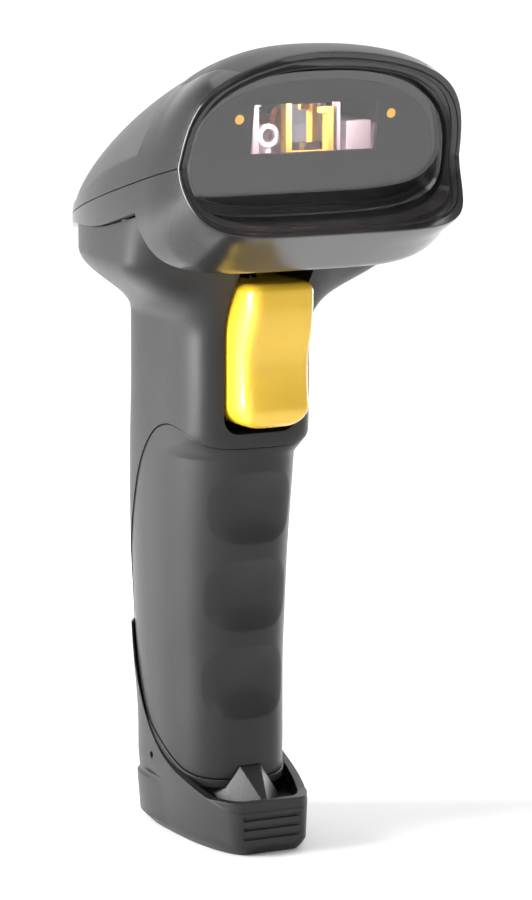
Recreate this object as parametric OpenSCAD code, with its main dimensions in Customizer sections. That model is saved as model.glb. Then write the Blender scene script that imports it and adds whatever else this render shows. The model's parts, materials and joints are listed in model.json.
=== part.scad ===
// Cordless pistol-grip barcode scanner: a tilted scan head on a moulded handle with a charging foot.
// Millimetres. +Z is up, the scan window faces -Y, X = 0 is the plane of symmetry.
// The origin is on the underside of the foot, below the axis of the handle.

/* [Head] */
// Width of the head at its widest
head_w = 68; // [66:1:70]
// Distance of the rear tip of the head behind the handle axis
rear_y = 31; // [30:0.5:32]
// Height of the roof above the parting line
roof_h = 26; // [25:0.5:27]
// Height of the parting line at the window rim
seam_front_z = 151.8; // [151:0.2:152.6]
// Fall of the parting line per millimetre towards the rear
seam_slope = 0.244; // [0.24:0.002:0.25]
// Wall thickness of the housings
wall = 2; // [1.8:0.1:2.2]

/* [Window] */
// Forward lean of the window in degrees
window_tilt = 10; // [9:0.5:11]
// Half width of the window
window_half_w = 30; // [29.5:0.1:30.2]
// Thickness of the window pane
pane_t = 1.5; // [1.2:0.1:1.8]
// Width of the clear scan opening
scan_w = 29; // [27:1:30]
// Height of the clear scan opening
scan_h = 10.6; // [9.6:0.2:11]

/* [Handle] */
// Half width of the handle under the trigger
grip_half_w = 15.3; // [15:0.1:15.5]
// Half depth of the handle under the trigger
grip_half_d = 23.3; // [23:0.1:23.6]
// Depth of the finger scallops
scallop_d = 1.1; // [0.8:0.1:1.2]

/* [Trigger] */
// Half width of the trigger
trigger_half_w = 8.3; // [8.1:0.1:8.5]
// Gap around the trigger
trigger_gap = 0.4; // [0.35:0.05:0.5]
// Radius of the trigger pin
pin_r = 1.2; // [1.1:0.05:1.3]

/* [Foot] */
// Half width of the foot at its base
foot_half_w = 12.5; // [12.4:0.1:12.7]
// Half width of the flat nose
nose_half_w = 7.2; // [6.9:0.1:7.5]
// Height of the nose
nose_h = 9.3; // [9:0.1:9.6]
// Radius of the release pinhole
pinhole_r = 0.8; // [0.7:0.05:0.9]

/* [Hidden] */
$fn = 48;
eps = 0.01;
ring_points = 40;           // points around each ring of a free-form skin
ring_step = 4.5;            // height between the rings of the handle
fit = 0.15;                 // gap between parts that sit against each other
face_y = -53.3;             // rim of the window where the parting line meets it
roof_y = -42;               // the roof starts to fall behind this depth
roof_fwd_y = -41;           // and in front of this one
roof_fwd_drop = 0.0171;     // fall of the roof towards the rim, per square millimetre
side_y = -50;               // the flanks start to close behind this depth
flank_y = -40;              // and taper in front of this one
flank_taper = 0.0075;       // inward taper of the flanks towards the rim, per square millimetre
chin_y = -47;               // rear edge of the chin
chin_d = 21.7;              // depth of the chin below the parting line at that edge
chin_slope = 0.331;         // how much shallower the chin gets per millimetre forwards
roof_n = 2.3;               // exponents of the rounded sections: roof, belly, grip, front of the housing
belly_n = 4.2;
grip_n = 2.5;
housing_n = 4.8;
window_mid_z = 157;
window_mid_y = -51.2;
panel_t = 1;                // thickness of the two roof panels
corner_y = -34.8;           // where the rear panel and the lower arm step
roof_panel_w = 25.6;        // half width of the dark panel on the crown
roof_panel_y = -39.6;       // rear edge of that panel
neck_top_y = -20;           // centre of the neck where it meets the head
neck_top_w = 31.6;          // half sizes of the neck there
neck_rear_d = 49.5;
neck_front_d = 22;
pivot = [0, -20.5, 121];
pin_half = 10.2;            // half length of the trigger pin
pocket_z = [91.2, 127.5];   // floor and roof of the trigger pocket
switch_z = 102;             // height of the trigger switch
switch_front = -13.8;       // its front face
mirror_axis = [4, -36, 158.5];
engine_z = 146;             // underside of the scan engine
foot_mid_y = -8;            // widest place of the foot
foot_front_d = 23;
foot_rear_d = 24.2;
foot_front_n = 2;
foot_rear_n = 3.2;
foot_draft = 0.1;           // outward lean of its walls up to the height of the moat
foot_draft_h = 16;
neck_rear_n = 2.2;
neck_front_n = 3;
jack_y = 7.5;               // centre of the charging jack
jack_half = [6.2, 4.4];
jack_h = 9.4;
handle_base = 12.5;         // lower end of the handle housing inside the foot
battery_r = 9.2;
battery_y = 4.5;
battery_z = [25, 90];
board_y = -9;
light_y = -22;              // status light on the roof
light_r = 1.3;

// ---- outlines and sections -------------------------------------------------------------------

function smooth(t) = let (c = min(max(t, 0), 1)) c * c * (3 - 2 * c);
function spow(v, n) = sign(v) * pow(abs(v), 2 / n);

// Height of the parting line at a depth y
function seam_z(y) = seam_front_z - seam_slope * (y - face_y);

// Rim of the window in side view: leans forwards above the parting line, and out to the lip below it
function rim_y(z) = z > seam_front_z
    ? face_y - 0.24 * (z - seam_front_z)
    : face_y - 10 * pow((seam_front_z - z) / 14, 1.7);

// Half width, roof height and belly depth of the head at depth y, moved inwards by t
function head_half_w(y, t) = let (s = min(max((y - side_y) / (rear_y - t - side_y), 0), 1))
    (head_w / 2 - t) * pow(1 - pow(s, 3), 0.4) - flank_taper * pow(max(flank_y - y, 0), 2);
function head_roof(y, t) = let (s = min(max((y - roof_y) / (rear_y - t - roof_y), 0), 1))
    (roof_h - t) * (1 - s * s) - roof_fwd_drop * pow(max(roof_fwd_y - y, 0), 2);
function head_belly(y, t) = let (s = min(max((y - chin_y) / (rear_y - t - chin_y), 0), 1))
    (chin_d - t - chin_slope * max(chin_y - y, 0)) * pow(1 - pow(s, 3), 0.5);

// One upright section across the head
function head_ring(y, t) = [for (i = [0:ring_points - 1])
    let (a = 360 * i / ring_points, n = i < ring_points / 2 ? roof_n : belly_n)
    [head_half_w(y, t) * spow(cos(a), n), y,
     seam_z(y) + (sin(a) >= 0 ? head_roof(y, t) : head_belly(y, t)) * spow(sin(a), n)]];

// Half width, half depth and centre of the plain handle at height z
function handle_w(z) = grip_half_w - 1.8 + 1.8 * min(z / 88, 1);
function handle_d(z) = grip_half_d - 5 + 5 * smooth((z - 5) / 90);
function handle_y(z) = -1.8 + 1.6 * smooth((z - 15) / 30) - 2.6 * smooth((z - 58) / 45);

// Flare of the handle into the neck, quicker behind (side 1) than in front (side -1)
function flare(z, side) = let (behind = smooth((side + 0.9) / 0.9))
    behind * smooth((z - 114.5) / 14.5) + (1 - behind) * smooth((z - 112) / 31);

// Exponent of the handle's section: round at the grip, nearly square in front round the trigger
function handle_n(z, side) = side > 0 ? grip_n : grip_n + (housing_n - grip_n) * smooth((z - 85) / 6);

// One level section of the handle and neck, moved inwards by t
function handle_ring(z, t) = [for (i = [0:ring_points - 1])
    let (a = 360 * i / ring_points, f = flare(z, sin(a)), m = handle_n(z, sin(a)),
         low = [(handle_w(z) - t) * spow(cos(a), m), handle_y(z) + (handle_d(z) - t) * spow(sin(a), m)],
         n = sin(a) > 0 ? neck_rear_n : neck_front_n,
         d = sin(a) > 0 ? neck_rear_d : neck_front_d,
         top = [(neck_top_w - t) * spow(cos(a), n), neck_top_y + (d - t) * spow(sin(a), n)])
    [low.x + f * (top.x - low.x), low.y + f * (top.y - low.y), z]];

// Level outline of the foot at height z, moved inwards by t: round behind, tapering to a flat nose
function foot_outline(z, t) = let (w = foot_half_w + foot_draft * min(z, foot_draft_h) - t)
    [for (i = [0:ring_points - 1]) let (a = 360 * i / ring_points, c = cos(a), s = sin(a)) s >= 0
        ? [w * spow(c, foot_rear_n), foot_mid_y + (foot_rear_d - t) * spow(s, foot_rear_n)]
        : [(abs(c) < eps ? 0 : sign(c)) * (nose_half_w - t + (w + t - nose_half_w) * abs(spow(c, foot_front_n))),
           foot_mid_y + (foot_front_d - t) * spow(s, foot_front_n)]];

// Closed skin through rings that all have the same number of points
module skin(rings) {
    n = len(rings[0]);
    last = len(rings) - 1;
    sides = [for (i = [0:last - 1], j = [0:n - 1])
        let (a = i * n + j, b = i * n + (j + 1) % n)
        each [[a, b, b + n], [a, b + n, a + n]]];
    polyhedron([for (r = rings) each r],
        concat([[for (j = [n - 1:-1:0]) j]], sides, [[for (j = [0:n - 1]) last * n + j]]), convexity = 8);
}

// Free-form skins are trimmed as one mesh: no bore or pin depends on them
module free_form() resize([0, 0, 0]) children();

// The whole head, moved inwards by t
module head(t) {
    front = -66;
    back = rear_y - t - 0.15;
    steps = 24;
    skin([for (i = [0:steps]) head_ring(back - (back - front) * pow(1 - i / steps, 2), t)]);
}

// The handle and neck between two heights, moved inwards by t. All such skins have rings at the same
// heights in between, so that one nests inside another.
module handle(t, z0, z1) {
    between = [for (i = [floor(z1 / ring_step - 0.1):-1:ceil(z0 / ring_step + 0.1)]) i * ring_step];
    skin([for (z = concat([z1], between, [z0])) handle_ring(z, t)]);
}

// A slab across the whole width, from an outline given as depth and height
module side_slab(outline, w = 90) {
    rotate([90, 0, 90]) linear_extrude(w, center = true) polygon(outline);
}

// Everything behind the rim, set back by t
module behind_rim(t) {
    side_slab([for (z = [120:3:186]) [rim_y(z) + t, z], [60, 186], [60, 120]]);
}

// Everything above the parting line, raised by t
module above_seam(t) {
    side_slab([[-80, seam_z(-80) + t], [60, seam_z(60) + t], [60, 190], [-80, 190]]);
}

// Lower edge of the side arms: near the parting line, then down to the chin
arm_edge = concat(
    [for (p = [[40, 1.5], [12, 2.2], [4, 3], [-8.5, 5.3], [-18, 6.2], [corner_y, 6.2]]) [p.x, seam_z(p.x) - p.y]],
    [[-37.3, 136.6], [-39.4, 133.2], [-40, 130], [chin_y, 128.6]]);

// Everything above the lower edge of the arms, raised by t
module above_arms(t) {
    side_slab(concat([for (p = arm_edge) [p.x, p.y + t]], [[chin_y, 110], [-90, 110], [-90, 200], [40, 200]]));
}

// ---- head ------------------------------------------------------------------------------------

// Zones of the dark crown panel, seen from above, and of the grey rear panel, seen from the side
module roof_panel_zone(t) {
    translate([0, 0, 160]) linear_extrude(30)
        polygon([for (p = [[1, -70], [1, -60], [1, -55], [1, -50], [1, roof_panel_y + t],
                           [-1, roof_panel_y + t], [-1, -50], [-1, -55], [-1, -60], [-1, -70]])
            [p.x * (roof_panel_w + t - 0.012 * pow(max(-40 - p.y, 0), 2)), p.y]]);
}

module rear_panel_zone(t) {
    side_slab([[-37.9 - t, 190], [-37.9 - t, 165], [-36.4 - t, 156.6], [corner_y - t, seam_z(corner_y) + 5.6 - t],
        [-18, seam_z(-18) + 5.3 - t], [-8, seam_z(-8) + 3.8 - t], [rear_y, seam_z(rear_y) + 0.8 - t],
        [60, 150], [60, 190]]);
}

// Hole for the light pipe in the roof
module light_hole() {
    translate([0, light_y, 150]) cylinder(r = light_r + fit, h = 30);
}

module upper_shell() {
    color("#77787b") difference() {
        free_form() difference() {
            intersection() {
                head(0);
                above_seam(0.1);
                behind_rim(1.2);
            }
            head(wall);
            intersection() {
                difference() {
                    head(-1.5);
                    head(panel_t + fit);
                }
                union() {
                    roof_panel_zone(fit);
                    rear_panel_zone(fit);
                }
            }
        }
        light_hole();
    }
}

module roof_panel() {
    color("#26272a") free_form() intersection() {
        difference() {
            head(-0.1);
            head(panel_t);
        }
        roof_panel_zone(0);
        behind_rim(1.2);
        above_seam(6);
    }
}

module rear_panel() {
    color("#6c6e71") difference() {
        free_form() intersection() {
            difference() {
                head(0.35);
                head(panel_t);
            }
            rear_panel_zone(0);
        }
        light_hole();
    }
}

module lower_shell() {
    color("#85878a") free_form() difference() {
        intersection() {
            head(0);
            difference() {
                above_arms(0);
                above_seam(-0.1);
            }
            behind_rim(1.2);
        }
        intersection() {
            head(wall);
            side_slab([[60, 190], [-80, 190], [-80, 143], [-45.4, 131], [-45.4, 127], [60, 127]]);
        }
    }
}

// Opening of the window in front view: rounded roof above the parting line, flatter floor below it
module front_outline(w, up, down) {
    polygon([for (i = [0:47]) let (a = 7.5 * i, n = a < 180 ? 2.5 : 3.6)
        [w * spow(cos(a), n), (sin(a) >= 0 ? up : down) * spow(sin(a), n)]]);
}

// A plate of that outline in the leaning plane of the window, from depth d0 to d1 behind its face
module window_plate(w, up, down, d0, d1) {
    translate([0, window_mid_y, window_mid_z]) rotate([window_tilt, 0, 0])
        translate([0, d1, seam_front_z - window_mid_z]) rotate([90, 0, 0])
            linear_extrude(d1 - d0) front_outline(w, up, down);
}

module front_bezel() {
    color("#17181a") free_form() difference() {
        union() {
            intersection() {
                head(0);
                behind_rim(0);
                side_slab([for (z = [120:3:186]) [rim_y(z) + 1.1, z], [-90, 186], [-90, 120]]);
            }
            intersection() {
                head(wall + 0.1);
                behind_rim(0.5);
                side_slab([[-47.5, 190], [-80, 190], [-80, 143.3], [-45.6, 131.3], [-42.5, 150]]);
            }
        }
        translate([0, window_mid_y, seam_front_z]) rotate([90, 0, 0])
            linear_extrude(30) front_outline(window_half_w + 0.4, 19.6, 12.3);
        window_plate(window_half_w + 0.3, 19.2, 12.1, -3, pane_t + 1);
        window_plate(window_half_w - 2, 17, 10, 0, 20);
    }
}

module window_gasket() {
    color("#101010") free_form() difference() {
        window_plate(window_half_w + 0.2, 19.1, 12, pane_t + 0.1, pane_t + 0.9);
        window_plate(window_half_w - 1.9, 17, 10, -2, 9);
    }
}

module window() {
    color([0.15, 0.13, 0.14, 0.5]) window_plate(window_half_w, 18.9, 11.8, 0, pane_t);
}

// Place something in the leaning frame of the window: x across, y behind its face, z up in its plane
module on_window() {
    translate([0, window_mid_y, window_mid_z]) rotate([window_tilt, 0, 0]) children();
}

module window_mask() {
    color("#202123") difference() {
        window_plate(window_half_w - 2.2, 16.8, 9.8, pane_t + 0.1, pane_t + 1.1);
        on_window() translate([0, 2, 1.4]) cube([scan_w, 6, scan_h], center = true);
        for (s = [-1, 1]) on_window() translate([s * 17.6, 0, 3.7]) rotate([-90, 0, 0]) cylinder(r = 1.1, h = 6);
    }
}

module aiming_leds() {
    color("#e8921e") for (s = [-1, 1]) on_window() translate([s * 17.6, pane_t + 0.2, 3.7])
        rotate([-90, 0, 0]) cylinder(r = 1, h = 3.4);
}

// ---- handle, trigger and foot ----------------------------------------------------------------

// Grip outline in side view: rounded shoulder at the top, sloping lower edge above the foot
module grip_zone(t) {
    side_slab([[-40, 86.8 + t], [-24, 88.2 + t], [-17, 91.6 + t], [-10, 91.4 + t], [-3, 88.4 + t], [4 + t, 80.5],
        [11 + t, 67], [14 + t, 56], [14 + t, 37], [10 + t, 29.6 - t], [-8, 18.2 - t], [-13, 15 - t], [-40, 14.4 - t]]);
}

module finger_scallops() {
    for (z = [75.5, 56, 36.5])
        translate([0, handle_y(z) - handle_d(z) - 15 + scallop_d, z - 1])
            rotate([90, 0, 90]) cylinder(r = 15, h = 40, center = true, $fn = 64);
}

// Block of the trigger pocket between two heights, grown by t
module trigger_pocket(t, z0, z1) {
    back = -9;
    front = -50;
    translate([-trigger_half_w - trigger_gap - t, front, z0 - t])
        cube([2 * (trigger_half_w + trigger_gap + t), back + t - front, z1 - z0 + 2 * t]);
}

module handle_shell() {
    color("#3c3d40") difference() {
        free_form() difference() {
            union() {
                difference() {
                    handle(0, handle_base, 140);
                    handle(wall, 5, 150);
                }
                intersection() {
                    handle(0, handle_base, 140);
                    trigger_pocket(wall, pocket_z[0], pocket_z[1]);
                }
            }
            above_arms(-fit);
            trigger_pocket(0, pocket_z[0], 150);
            intersection() {
                difference() {
                    handle(-3, 5, 140);
                    handle(1.4, 5, 140);
                }
                grip_zone(fit);
            }
        }
        translate(pivot) rotate([0, 90, 0]) cylinder(r = pin_r, h = 2 * pin_half + 0.2, center = true);
        translate([0, -8, switch_z]) rotate([90, 0, 0]) cylinder(r = 2.2, h = 8, center = true);
        release_hole();
    }
}

module grip_insert() {
    color("#2c2d30") free_form() difference() {
        intersection() {
            difference() {
                handle(0, 14, 95);
                handle(1.3, 10, 99);
            }
            grip_zone(0);
        }
        finger_scallops();
    }
}

// Front face of the trigger in side view: full at the top and toe, hollow for the finger
function trigger_front(z) = -33.8 - 3.4 * smooth((z - 106) / 14) - 0.9 * smooth((103 - z) / 8)
    + 0.26 * pow(max(97 - z, 0), 2);

module trigger() {
    top = 124.6;
    toe = 93;
    color("#e0b02c") difference() {
        free_form() intersection() {
            side_slab(concat([for (i = [0:16]) let (z = toe + (top - toe) * i / 16) [trigger_front(z), z]],
                [[-17.8, top], [-17.4, 118], [-22.6, 113], [-22.6, toe]]), 2 * trigger_half_w);
            hull() for (s = [-1, 1], z = [toe + 4, top - 2.5], y = [-34, -13])
                translate([s * (trigger_half_w - 4), y, z]) scale([1, 1, z > 100 ? 0.62 : 1]) sphere(r = 4, $fn = 32);
        }
        translate(pivot) rotate([0, 90, 0]) cylinder(r = pin_r + 0.06, h = 24, center = true);
        translate([0, pivot.y + 1, pivot.z]) cube([6, 9, 8], center = true);
    }
}

module trigger_pin() {
    color("silver") translate(pivot) rotate([0, 90, 0]) cylinder(r = pin_r, h = 2 * pin_half, center = true);
}

// Torsion spring: a coil round the pin, one leg down the pocket wall and one behind the trigger
function spring_path() = let (r = 2.1, turns = 4, per_turn = 12, pitch = 0.85)
    concat([[-turns * pitch / 2, r + 2.4, -7]],
        [for (i = [0:turns * per_turn]) let (a = 360 * i / per_turn)
            [pitch * (i / per_turn - turns / 2), r * cos(a), r * sin(a)]],
        [[turns * pitch / 2, r + 1.2, 3]]);

// Round bar of radius r along a path that runs across X, in 8 sides
module bar(path, r) {
    last = len(path) - 1;
    skin([for (i = [0:last])
        let (d = path[min(i + 1, last)] - path[max(i - 1, 0)], u = d / norm(d),
             v = cross(u, [1, 0, 0]), side = v / norm(v), up = cross(side, u))
        [for (k = [0:7]) path[i] + r * (cos(45 * k) * up + sin(45 * k) * side)]]);
}

module trigger_spring() {
    color("silver") translate(pivot) bar(spring_path(), 0.35);
}

module trigger_switch() {
    color("#202020") difference() {
        translate([-4, switch_front, switch_z - 4]) cube([8, 4.6, 8]);
        translate([0, switch_front + 2.9, switch_z]) rotate([90, 0, 0]) cylinder(r = 1.6, h = 8);
    }
}

module switch_plunger() {
    color("#d8d8d8") translate([0, switch_front + 0.8, switch_z]) rotate([90, 0, 0]) {
        cylinder(r = 1.55, h = 5);
        translate([0, 0, 5 - eps]) cylinder(r1 = 1.55, r2 = 1, h = 4.2);
    }
}

// Rim of the foot in side view: sweeps up from the nose to hug the back of the handle
function foot_rim(y) = nose_h + 0.31 * (y + 31) + 12.5 * pow(max((y + 14) / 23, 0), 3);

// One level section of the foot: its own outline low down, the handle's higher up
function foot_ring(z, t) = let (m = smooth((z - 13) / 24), low = foot_outline(z, t), high = handle_ring(z, t - 0.6))
    [for (i = [0:ring_points - 1]) [low[i].x + m * (high[i].x - low[i].x), low[i].y + m * (high[i].y - low[i].y), z]];

module foot_body(t, z0, z1) {
    steps = 12;
    skin([for (i = [0:steps]) foot_ring(z1 - (z1 - z0) * i / steps, t)]);
}

// Pointed keel from the front of the grip down to the nose, with a flat facet that narrows to the tip
module keel() {
    hull() {
        translate([0, -13, 10]) cube([15, 1, 6.5], center = true);
        translate([0, -20.2, 16.9]) cube([5, 0.6, 0.6], center = true);
        translate([0, -29.4, 9]) cube([0.4, 0.4, 0.4], center = true);
    }
}

module foot() {
    rib = 2.1;
    color("#47484b") difference() {
        free_form() difference() {
            union() {
                difference() {
                    union() {
                        intersection() {
                            foot_body(0, 0, 44);
                            side_slab(concat([for (y = [-35:2.5:15]) [y, foot_rim(y)]],
                                [[30, 60], [30, -1], [-35, -1]]));
                        }
                        intersection() {
                            foot_body(-0.6, 1.2, 11.5);
                            side_slab([[-4, -1], [60, -1], [60, 60], [4, 60]]);
                        }
                    }
                    difference() {
                        foot_body(1.7, 9.4, 50);
                        handle(1.1, 9, 60);
                        side_slab([[2, 70], [60, 70], [60, 0], [2, 0]]);
                    }
                }
                keel();
            }
            handle(-fit, handle_base - fit, 60);
            handle(wall + 1, 6, handle_base + 1);
            for (i = [0:2]) translate([0, foot_mid_y - foot_front_d - 0.05, 2.6 + rib * i])
                rotate([45, 0, 0]) cube([40, 0.8, 0.8], center = true);
            translate([0, jack_y, 3]) cube([2 * jack_half.x + 2.8, 2 * jack_half.y + 2.8, 24], center = true);
            base_zone(fit, -1, 1.95);
        }
        release_hole();
        translate([0, -14.5, -1]) cylinder(r = 1.3, h = 20);
    }
}

// Pinhole in the side through which the latch of the charging lead is let go
module release_hole() {
    translate([-9, 0, 16.6]) rotate([0, -90, 0]) cylinder(r = pinhole_r, h = 12);
}

// Recess in the underside of the foot for the base plate
module base_zone(t, z0, z1) {
    translate([0, -2.5, z0]) linear_extrude(z1 - z0) offset(r = 2, $fn = 32)
        square([2 * (8 + t), 2 * (13 + t)], center = true);
}

module base_plate() {
    color("#34353a") difference() {
        base_zone(0, 0, 1.8);
        translate([0, jack_y, 0]) cube([2 * jack_half.x, 2 * jack_half.y, 8], center = true);
        translate([0, -14.5, -1]) cylinder(r = 1.3, h = 6);
        translate([0, -14.5, -eps]) cylinder(r = 2.5, h = 1.32);
    }
}

// ---- power and electronics -------------------------------------------------------------------

module charging_jack() {
    color("#2a2a2c") difference() {
        translate([0, jack_y, 1.9 + jack_h / 2])
            cube([2 * jack_half.x + 2.4, 2 * jack_half.y + 2.4, jack_h], center = true);
        translate([0, jack_y, jack_h / 2]) cube([2 * jack_half.x, 2 * jack_half.y, jack_h + 1], center = true);
    }
}

module jack_contacts() {
    color("gold") for (i = [-4.5:1:4.5])
        translate([i * 1.1 - 0.25, jack_y - jack_half.y, 3.5]) cube([0.5, 0.5, 6.3]);
}

module battery_cell() {
    color("#2f6db5") translate([0, battery_y, battery_z[0]]) {
        cylinder(r = battery_r, h = battery_z[1] - battery_z[0]);
        cylinder(r = 3, h = battery_z[1] - battery_z[0] + 1);
    }
}

module battery_contacts() {
    color("#c9b37a") for (z = [battery_z[0] - 1, battery_z[1] + 1.1])
        translate([-3, battery_y - 5, z]) cube([6, 10, 0.7]);
}

module main_board() {
    color("#1e6b3a") translate([-10, board_y, 26]) cube([20, 1.6, 61]);
}

module interface_board() {
    color("#1e6b3a") translate([-8, -10, 15.2]) cube([16, 18, 1.6]);
}

module processor_chip() {
    color("#1b1b1b") translate([-5, board_y - 1.3, 56]) cube([10, 1.25, 10]);
}

module radio_shield() {
    color("#c8c8c8") translate([-7, board_y - 2.3, 34]) cube([14, 2.2, 16]);
}

module board_connector() {
    color("#e8e2d0") translate([-6, board_y + 1.65, 81]) cube([12, 2.4, 4]);
}

// Flat cable from the main board up to the scan engine
module ribbon_cable() {
    t = 0.3;
    color("#d9a441") translate([-5, board_y + 2.6, 0]) rotate([90, 0, 90]) linear_extrude(10)
        polygon([[0, 85.05], [t, 85.05], [t, 140], [-6, 144.4], [-14, 144.4], [-14, 144.4 - t], [-6.1, 144.4 - t],
            [0, 139.8]]);
}

module beeper() {
    color("#222222") translate([0, 12, 132]) difference() {
        cylinder(r = 6, h = 5.5);
        translate([0, 0, 4.6]) cylinder(r = 1.2, h = 2);
    }
}

module status_led() {
    color("#d8f0d8") translate([0, light_y, 160.8]) cylinder(r = 1.5, h = 2.3);
}

module light_pipe() {
    base = 163.2;
    color([0.9, 0.95, 1, 0.6]) translate([0, light_y, base])
        cylinder(r = light_r, h = seam_z(light_y) + head_roof(light_y, 0.6) - base);
}

// ---- scan engine -----------------------------------------------------------------------------

// Pale moulding that carries the optics: floor, walls, and the guides that show in the scan opening
module engine_chassis() {
    front = -43;
    color("#c9c7cc") difference() {
        union() {
            translate([-11, front, engine_z]) cube([1.4, 1.5, 17]);
            translate([-6.8, front + 2.4, 156.6]) rotate([90, 0, 0]) difference() {
                cylinder(r = 2.4, h = 1.4);
                translate([0, 0, -1]) cylinder(r = 1.5, h = 4);
            }
            translate([-7.4, front + 1.2, engine_z]) cube([1.2, 1, 8.7]);
            translate([8.6, front, engine_z]) cube([0.8, 2, 17]);
            translate([11, front, engine_z]) cube([5.6, 3, 13]);
            translate([-21, -45, engine_z]) cube([42, 28, 1.6]);
            translate([-18, -19, engine_z]) cube([36, 2, 13]);
            for (s = [-1, 1]) translate([s * 20.2 - 0.8, -45, engine_z]) cube([1.6, 28, 12]);
        }
        for (s = [-1, 1]) translate([s * 17, -22.5, 140]) cylinder(r = 1.05, h = 12);
        translate([mirror_axis.x, mirror_axis.y, 140]) cylinder(r = 1, h = 12);
    }
}

// Yellow clip in front of the swinging mirror: two posts on a low bar, the right one hooked
module engine_bracket() {
    color("#d9b43a") translate([-3.4, -43.4, engine_z + 1.7]) {
        cube([1.2, 2.6, 15.5]);
        cube([11, 1.2, 5.5]);
        translate([9.8, 0, 0]) cube([1.2, 2.6, 14.5]);
        translate([7.8, 0, 13.3]) cube([3.2, 1.2, 1.2]);
    }
}

module laser_module() {
    color("#c8a040") translate([-14, -26, 158]) rotate([90, 0, 0]) difference() {
        cylinder(r = 3.5, h = 10);
        translate([0, 0, 8.4]) cylinder(r = 2, h = 2);
    }
}

module laser_lens() {
    color([0.8, 0.9, 1, 0.6]) translate([-14, -34.6, 158]) rotate([90, 0, 0]) cylinder(r = 1.95, h = 1);
}

// Thin mirror on a hub that swings about an upright pin
module scan_mirror() {
    color("#d5dde6") translate(mirror_axis) difference() {
        union() {
            translate([0, 0, -4]) cylinder(r = 2, h = 8);
            translate([0, -2, 0]) cube([9, 1, 8], center = true);
        }
        cylinder(r = 0.85, h = 20, center = true);
    }
}

module mirror_pin() {
    color("silver") translate([mirror_axis.x, mirror_axis.y, 146]) cylinder(r = 0.8, h = 18);
}

module mirror_magnet() {
    color("#9a9a9a") translate(mirror_axis + [0, 2.8, 0]) cube([4, 1.6, 4], center = true);
}

module drive_coil() {
    color("#b0692c") translate(mirror_axis + [0, 6.4, 0]) rotate([90, 0, 0]) difference() {
        cylinder(r = 3.6, h = 2.6, center = true);
        cylinder(r = 1.4, h = 4, center = true);
    }
}

module collecting_mirror() {
    color("#cfd6dd") translate([-3.6, -27, 154.4]) rotate([0, 0, 30]) difference() {
        cube([11, 3, 12], center = true);
        translate([0, -21.5, 0]) rotate([90, 0, 0]) sphere(r = 21, $fn = 64);
    }
}

module photodiode() {
    color("#1f1f22") translate([13.7, -28, 151.5]) cube([5, 2, 5]);
}

module signal_filter() {
    color([0.6, 0.1, 0.12, 0.7]) translate([13.2, -29.1, 150.8]) cube([6, 1, 6.4]);
}

// ---- fasteners -------------------------------------------------------------------------------

// Pan-head screw pointing up, head at the origin
module screw(r, l) {
    translate([0, 0, -1.2]) difference() {
        cylinder(r = 2 * r, h = 1.2);
        translate([0, 0, -eps]) cylinder(r = r * 0.9, h = 0.6, $fn = 6);
    }
    cylinder(r = r, h = l);
}

module head_screws() {
    color("#8a8a8a") for (s = [-1, 1]) translate([s * 19, 2, 139]) screw(1.1, 8);
}

module engine_screws() {
    color("#8a8a8a") for (s = [-1, 1]) translate([s * 17, -22.5, 145.9]) screw(1, 4);
}

module foot_screw() {
    color("#8a8a8a") translate([0, -14.5, 1.3]) screw(1.15, 10);
}

upper_shell();
roof_panel();
rear_panel();
lower_shell();
handle_shell();
front_bezel();
window_gasket();
window();
window_mask();
aiming_leds();
trigger();
trigger_pin();
trigger_spring();
trigger_switch();
switch_plunger();
grip_insert();
foot();
base_plate();
charging_jack();
jack_contacts();
battery_cell();
battery_contacts();
main_board();
interface_board();
processor_chip();
radio_shield();
board_connector();
ribbon_cable();
beeper();
status_led();
light_pipe();
engine_chassis();
engine_bracket();
laser_module();
laser_lens();
scan_mirror();
mirror_pin();
mirror_magnet();
drive_coil();
collecting_mirror();
photodiode();
signal_filter();
head_screws();
engine_screws();
foot_screw();
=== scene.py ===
# Looks of the cordless barcode scanner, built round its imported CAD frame.
# Shapes are worked out in millimetres in the frame of the part, and stored in metres.
import json
import math

import bpy
import bmesh
import numpy as np
from mathutils import Euler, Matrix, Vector


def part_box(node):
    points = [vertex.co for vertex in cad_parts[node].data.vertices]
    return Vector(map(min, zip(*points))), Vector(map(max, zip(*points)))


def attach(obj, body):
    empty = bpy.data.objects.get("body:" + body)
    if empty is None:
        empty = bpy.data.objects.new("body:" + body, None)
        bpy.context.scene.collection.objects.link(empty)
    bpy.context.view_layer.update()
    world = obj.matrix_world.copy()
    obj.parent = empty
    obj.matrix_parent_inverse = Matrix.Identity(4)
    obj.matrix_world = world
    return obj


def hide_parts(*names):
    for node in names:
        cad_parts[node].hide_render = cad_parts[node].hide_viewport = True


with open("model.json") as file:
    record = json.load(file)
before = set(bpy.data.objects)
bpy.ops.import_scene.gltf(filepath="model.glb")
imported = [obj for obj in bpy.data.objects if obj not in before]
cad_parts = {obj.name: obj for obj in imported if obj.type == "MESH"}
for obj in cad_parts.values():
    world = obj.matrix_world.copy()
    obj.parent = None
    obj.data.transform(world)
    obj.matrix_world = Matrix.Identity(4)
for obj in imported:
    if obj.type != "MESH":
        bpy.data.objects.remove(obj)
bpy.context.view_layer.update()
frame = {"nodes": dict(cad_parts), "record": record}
MM = 0.001


def low(node, axis):
    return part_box(node)[0][axis] / MM


def high(node, axis):
    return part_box(node)[1][axis] / MM


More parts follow.
